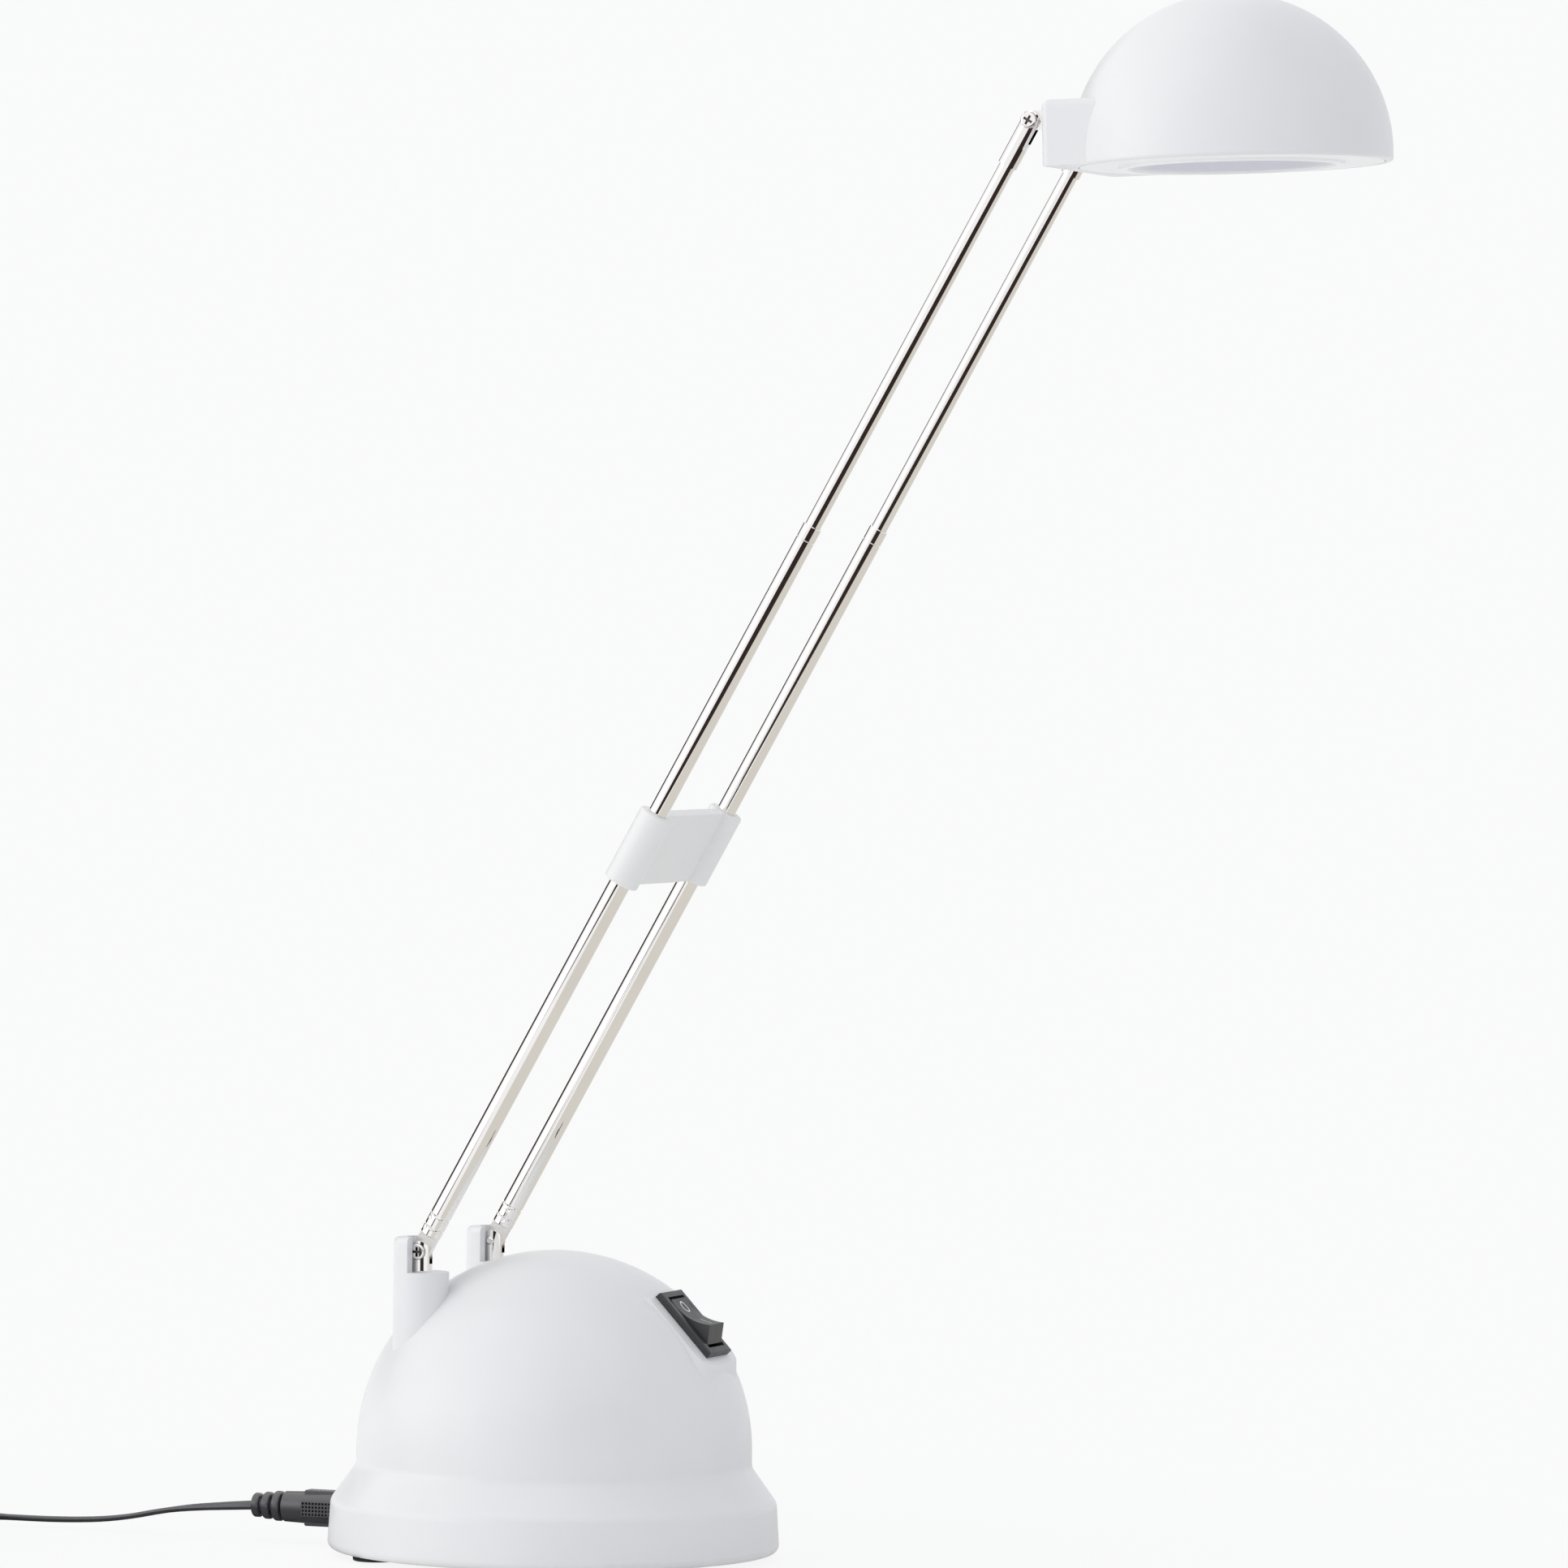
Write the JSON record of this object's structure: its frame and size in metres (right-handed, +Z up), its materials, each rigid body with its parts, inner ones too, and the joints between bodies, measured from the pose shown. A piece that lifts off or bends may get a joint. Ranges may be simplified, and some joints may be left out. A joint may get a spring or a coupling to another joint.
{
  "type": "led desk lamp with telescopic arm",
  "caption": "Desk lamp with a half-ball LED head on twin telescopic tubes, a domed weighted base with a rocker switch, and a plug-in low-voltage supply lead.",
  "frame": {"origin": "on the base's vertical axis, in the plane of the feet's undersides", "axes": "+Z up, +X forwards towards the head, +Y to the lamp's left"},
  "size_m": [0.4409, 0.1511, 0.4046],
  "materials": {
    "white_plastic": "satin white moulding",
    "cover_plastic": "satin white moulding",
    "diffuser": "frosted",
    "plate_plastic": "matte",
    "rubber": "matte",
    "cast_iron": "rough",
    "steel": "bright",
    "chrome": "polished plating",
    "brass": "bright",
    "switch_plastic": "satin black",
    "plug_plastic": "matte black",
    "lead_jacket": "satin black",
    "adapter_plastic": "matte black",
    "wire_jacket": "satin",
    "board": "solder mask",
    "led": "phosphor",
    "aluminium": "mill finish",
    "transformer": "taped core"
  },
  "bodies": {
    "base": {"base_shell": "white_plastic", "base_plate": "plate_plastic", "base_plate_screws": "steel", "rubber_feet": "rubber", "ballast": "cast_iron", "ballast_screw": "steel", "switch_housing": "switch_plastic", "switch_terminals": "brass", "socket_housing": "plug_plastic", "socket_pin": "brass", "socket_tabs": "brass", "lower_fork_right": "chrome", "lower_fork_left": "chrome", "lower_pivot_screws": "chrome", "fork_nuts": "steel", "solder_tags": "brass", "lead_socket_to_switch": "wire_jacket", "lead_switch_to_fork": "wire_jacket", "lead_socket_to_fork": "wire_jacket"},
    "rocker": {"switch_rocker": "switch_plastic"},
    "lower_arm": {"lower_knuckle_right": "chrome", "lower_knuckle_left": "chrome", "outer_tube_right": "chrome", "outer_tube_left": "chrome", "spacer_clip": "white_plastic"},
    "middle_arm": {"middle_tube_right": "chrome", "middle_tube_left": "chrome", "middle_collars": "brass"},
    "upper_arm": {"inner_tube_right": "chrome", "inner_tube_left": "chrome", "inner_collars": "brass", "upper_fork_right": "chrome", "upper_fork_left": "chrome", "upper_pivot_screws": "chrome"},
    "head": {"head_shell": "white_plastic", "head_cover": "cover_plastic", "bezel_ring": "cover_plastic", "diffuser": "diffuser", "reflector_cup": "cover_plastic", "led_board": "board", "led_chips": "led", "heat_spreader": "aluminium", "spreader_screws": "steel", "tongue_right": "chrome", "tongue_left": "chrome", "tongue_screws": "steel", "head_leads": "wire_jacket"},
    "supply": {"plug_body": "plug_plastic", "plug_barrel": "chrome", "plug_insulator": "plug_plastic", "supply_lead": "lead_jacket", "lead_coil": "lead_jacket", "lead_tail": "lead_jacket", "lead_tie": "plug_plastic", "adapter_case": "adapter_plastic", "adapter_cover": "adapter_plastic", "adapter_relief": "lead_jacket", "adapter_pins": "chrome", "adapter_board": "board", "adapter_transformer": "transformer"}
  },
  "joints": [
    {"name": "arm_tilt", "type": "hinge", "parent": "base", "child": "lower_arm", "pos_m": [-0.0278, 0, 0.0797], "axis": [0, 1, 0], "range_deg": [-29.3, 45]},
    {"name": "middle_slide", "type": "slide", "parent": "lower_arm", "child": "middle_arm", "axis": [0.4898, 0, 0.8718], "range_m": [-0.079, 0.02]},
    {"name": "upper_slide", "type": "slide", "parent": "middle_arm", "child": "upper_arm", "axis": [0.4898, 0, 0.8718], "range_m": [-0.1, 0.002]},
    {"name": "head_tilt", "type": "hinge", "parent": "upper_arm", "child": "head", "pos_m": [0.1361, 0, 0.37141], "axis": [0, 1, 0], "range_deg": [-75, 20]},
    {"name": "rocker_press", "type": "hinge", "parent": "base", "child": "rocker", "pos_m": [0.03674, 0, 0.06011], "axis": [0, 1, 0], "range_deg": [0, 34]},
    {"name": "plug_pull", "type": "slide", "parent": "base", "child": "supply", "axis": [-1, 0, 0], "range_m": [0, 0.012]}
  ]
}
